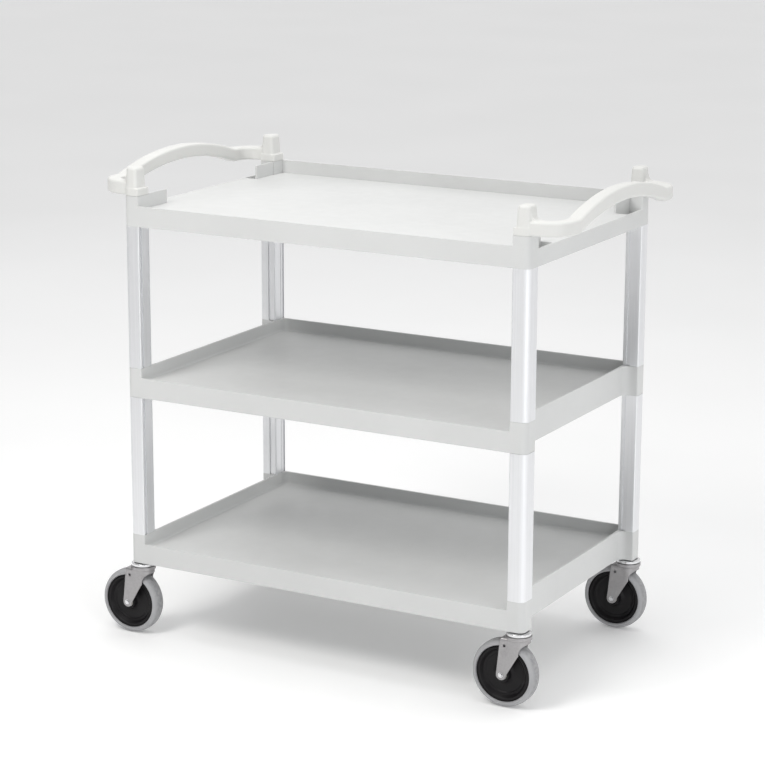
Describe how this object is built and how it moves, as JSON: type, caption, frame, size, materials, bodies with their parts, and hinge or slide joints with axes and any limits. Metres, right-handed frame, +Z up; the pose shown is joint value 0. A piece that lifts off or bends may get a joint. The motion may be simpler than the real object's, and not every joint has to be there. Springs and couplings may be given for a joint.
{
  "type": "food service trolley",
  "caption": "Open shelf trolley: moulded tray shelves on aluminium corner uprights, with an arched bow handle at each end and swivel casters on stems.",
  "frame": {"origin": "on the floor, under the middle of the trolley", "axes": "+X along the trolley towards the right handle, +Y across it towards the high rear walls, +Z up"},
  "size_m": [0.981, 0.5384, 0.9224],
  "materials": {
    "shelf_plastic": "fine matte texture, light grey",
    "handle_plastic": "fine matte texture, off-white grey",
    "anodised_aluminium": "satin anodised, drawn lengthwise",
    "zinc_steel": "bright zinc plate",
    "bright_steel": "bright nickel plate",
    "black_core": "semi-matte moulded",
    "grey_tyre": "smooth matte grey rubber",
    "nylon": "natural nylon"
  },
  "bodies": {
    "frame": {"shelf_bottom": "shelf_plastic", "shelf_middle": "shelf_plastic", "shelf_top": "shelf_plastic", "handle_left": "handle_plastic", "handle_right": "handle_plastic", "handle_screws": "zinc_steel", "upright_lower_front_left": "anodised_aluminium", "upright_upper_front_left": "anodised_aluminium", "upright_lower_front_right": "anodised_aluminium", "upright_upper_front_right": "anodised_aluminium", "upright_lower_rear_left": "anodised_aluminium", "upright_upper_rear_left": "anodised_aluminium", "upright_lower_rear_right": "anodised_aluminium", "upright_upper_rear_right": "anodised_aluminium", "caster_socket_front_left": "zinc_steel", "caster_stem_front_left": "zinc_steel", "swivel_cap_front_left": "bright_steel", "swivel_balls_front_left": "bright_steel", "caster_socket_front_right": "zinc_steel", "caster_stem_front_right": "zinc_steel", "swivel_cap_front_right": "bright_steel", "swivel_balls_front_right": "bright_steel", "caster_socket_rear_left": "zinc_steel", "caster_stem_rear_left": "zinc_steel", "swivel_cap_rear_left": "bright_steel", "swivel_balls_rear_left": "bright_steel", "caster_socket_rear_right": "zinc_steel", "caster_stem_rear_right": "zinc_steel", "swivel_cap_rear_right": "bright_steel", "swivel_balls_rear_right": "bright_steel"},
    "swivel_front_left": {"fork_front_left": "zinc_steel", "axle_bolt_front_left": "bright_steel", "axle_nut_front_left": "bright_steel", "axle_sleeve_front_left": "zinc_steel"},
    "wheel_front_left": {"wheel_bush_front_left": "nylon", "wheel_core_front_left": "black_core", "tyre_front_left": "grey_tyre"},
    "swivel_front_right": {"fork_front_right": "zinc_steel", "axle_bolt_front_right": "bright_steel", "axle_nut_front_right": "bright_steel", "axle_sleeve_front_right": "zinc_steel"},
    "wheel_front_right": {"wheel_bush_front_right": "nylon", "wheel_core_front_right": "black_core", "tyre_front_right": "grey_tyre"},
    "swivel_rear_left": {"fork_rear_left": "zinc_steel", "axle_bolt_rear_left": "bright_steel", "axle_nut_rear_left": "bright_steel", "axle_sleeve_rear_left": "zinc_steel"},
    "wheel_rear_left": {"wheel_bush_rear_left": "nylon", "wheel_core_rear_left": "black_core", "tyre_rear_left": "grey_tyre"},
    "swivel_rear_right": {"fork_rear_right": "zinc_steel", "axle_bolt_rear_right": "bright_steel", "axle_nut_rear_right": "bright_steel", "axle_sleeve_rear_right": "zinc_steel"},
    "wheel_rear_right": {"wheel_bush_rear_right": "nylon", "wheel_core_rear_right": "black_core", "tyre_rear_right": "grey_tyre"}
  },
  "joints": [
    {"name": "swivel_front_left_turn", "type": "hinge", "parent": "frame", "child": "swivel_front_left", "pos_m": [-0.406, -0.243, 0.131], "axis": [0, 0, 1], "continuous": true},
    {"name": "wheel_front_left_roll", "type": "hinge", "parent": "swivel_front_left", "child": "wheel_front_left", "pos_m": [-0.431, -0.243, 0.0635], "axis": [0, 1, 0], "continuous": true},
    {"name": "swivel_front_right_turn", "type": "hinge", "parent": "frame", "child": "swivel_front_right", "pos_m": [0.406, -0.243, 0.131], "axis": [0, 0, 1], "continuous": true},
    {"name": "wheel_front_right_roll", "type": "hinge", "parent": "swivel_front_right", "child": "wheel_front_right", "pos_m": [0.381, -0.243, 0.0635], "axis": [0, 1, 0], "continuous": true},
    {"name": "swivel_rear_left_turn", "type": "hinge", "parent": "frame", "child": "swivel_rear_left", "pos_m": [-0.406, 0.243, 0.131], "axis": [0, 0, 1], "continuous": true},
    {"name": "wheel_rear_left_roll", "type": "hinge", "parent": "swivel_rear_left", "child": "wheel_rear_left", "pos_m": [-0.431, 0.243, 0.0635], "axis": [0, 1, 0], "continuous": true},
    {"name": "swivel_rear_right_turn", "type": "hinge", "parent": "frame", "child": "swivel_rear_right", "pos_m": [0.406, 0.243, 0.131], "axis": [0, 0, 1], "continuous": true},
    {"name": "wheel_rear_right_roll", "type": "hinge", "parent": "swivel_rear_right", "child": "wheel_rear_right", "pos_m": [0.381, 0.243, 0.0635], "axis": [0, 1, 0], "continuous": true}
  ]
}
